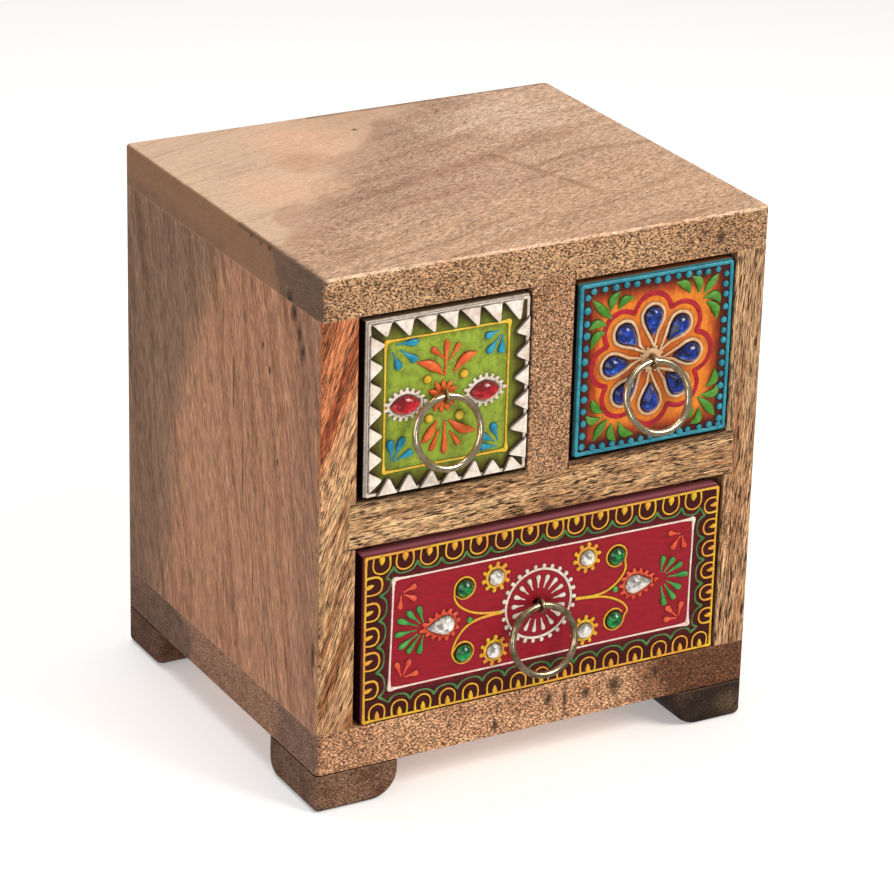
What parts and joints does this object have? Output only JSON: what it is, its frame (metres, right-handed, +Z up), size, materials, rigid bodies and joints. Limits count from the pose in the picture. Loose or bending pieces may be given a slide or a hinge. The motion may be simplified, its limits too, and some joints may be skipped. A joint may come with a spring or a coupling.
{
  "type": "miniature chest of drawers",
  "caption": "Small wooden chest with upper drawers side by side over one wide drawer, painted relief fronts set with glass gems, brass ring pulls on split pins, and block feet.",
  "frame": {"origin": "on the floor under the middle of the whole chest, with its ring pulls hanging at the front", "axes": "+X to the right seen from the front, +Y to the back, +Z up"},
  "size_m": [0.14, 0.134, 0.158],
  "materials": {
    "carcass_wood": "satin",
    "drawer_wood": "matte",
    "green_painted_front": "satin paint",
    "orange_painted_front": "satin paint",
    "crimson_painted_front": "satin paint",
    "brass_pull": "polished",
    "steel_nails": "plain",
    "red_glass_gem": "faceted",
    "blue_glass_gem": "faceted",
    "green_glass_gem": "faceted",
    "clear_glass_gem": "faceted"
  },
  "bodies": {
    "carcass": {"top_board": "carcass_wood", "bottom_board": "carcass_wood", "left_side_panel": "carcass_wood", "right_side_panel": "carcass_wood", "middle_shelf": "carcass_wood", "centre_divider": "carcass_wood", "back_panel": "carcass_wood", "back_panel_nails": "steel_nails", "foot_nails": "steel_nails", "foot_front_left": "carcass_wood", "foot_front_right": "carcass_wood", "foot_rear_left": "carcass_wood", "foot_rear_right": "carcass_wood"},
    "left_drawer": {"left_drawer_front": "green_painted_front", "left_drawer_left_side": "drawer_wood", "left_drawer_right_side": "drawer_wood", "left_drawer_back": "drawer_wood", "left_drawer_bottom": "drawer_wood", "left_drawer_pull_pin": "brass_pull", "left_drawer_left_gem": "red_glass_gem", "left_drawer_right_gem": "red_glass_gem"},
    "left_ring": {"left_drawer_pull_ring": "brass_pull"},
    "right_drawer": {"right_drawer_front": "orange_painted_front", "right_drawer_left_side": "drawer_wood", "right_drawer_right_side": "drawer_wood", "right_drawer_back": "drawer_wood", "right_drawer_bottom": "drawer_wood", "right_drawer_pull_pin": "brass_pull", "right_drawer_petal_gem_1": "blue_glass_gem", "right_drawer_petal_gem_2": "blue_glass_gem", "right_drawer_petal_gem_3": "blue_glass_gem", "right_drawer_petal_gem_4": "blue_glass_gem", "right_drawer_petal_gem_5": "blue_glass_gem", "right_drawer_petal_gem_6": "blue_glass_gem", "right_drawer_petal_gem_7": "blue_glass_gem", "right_drawer_petal_gem_8": "blue_glass_gem"},
    "right_ring": {"right_drawer_pull_ring": "brass_pull"},
    "lower_drawer": {"lower_drawer_front": "crimson_painted_front", "lower_drawer_left_side": "drawer_wood", "lower_drawer_right_side": "drawer_wood", "lower_drawer_back": "drawer_wood", "lower_drawer_bottom": "drawer_wood", "lower_drawer_pull_pin": "brass_pull", "lower_drawer_upper_left_clear_gem": "clear_glass_gem", "lower_drawer_upper_left_green_gem": "green_glass_gem", "lower_drawer_lower_left_clear_gem": "clear_glass_gem", "lower_drawer_lower_left_green_gem": "green_glass_gem", "lower_drawer_upper_right_clear_gem": "clear_glass_gem", "lower_drawer_upper_right_green_gem": "green_glass_gem", "lower_drawer_lower_right_clear_gem": "clear_glass_gem", "lower_drawer_lower_right_green_gem": "green_glass_gem", "lower_drawer_left_drop_gem": "clear_glass_gem", "lower_drawer_right_drop_gem": "clear_glass_gem"},
    "lower_ring": {"lower_drawer_pull_ring": "brass_pull"}
  },
  "joints": [
    {"name": "left_drawer_slide", "type": "slide", "parent": "carcass", "child": "left_drawer", "axis": [0, -1, 0], "range_m": [0, 0.095]},
    {"name": "left_ring_swing", "type": "hinge", "parent": "left_drawer", "child": "left_ring", "pos_m": [-0.0333, -0.05944, 0.11995], "axis": [-1, 0, 0], "range_deg": [0, 158]},
    {"name": "right_drawer_slide", "type": "slide", "parent": "carcass", "child": "right_drawer", "axis": [0, -1, 0], "range_m": [0, 0.095]},
    {"name": "right_ring_swing", "type": "hinge", "parent": "right_drawer", "child": "right_ring", "pos_m": [0.0322, -0.05944, 0.11885], "axis": [-1, 0, 0], "range_deg": [0, 142]},
    {"name": "lower_drawer_slide", "type": "slide", "parent": "carcass", "child": "lower_drawer", "axis": [0, -1, 0], "range_m": [0, 0.095]},
    {"name": "lower_ring_swing", "type": "hinge", "parent": "lower_drawer", "child": "lower_ring", "pos_m": [-0.00095, -0.05944, 0.051], "axis": [-1, 0, 0], "range_deg": [0, 155]}
  ]
}
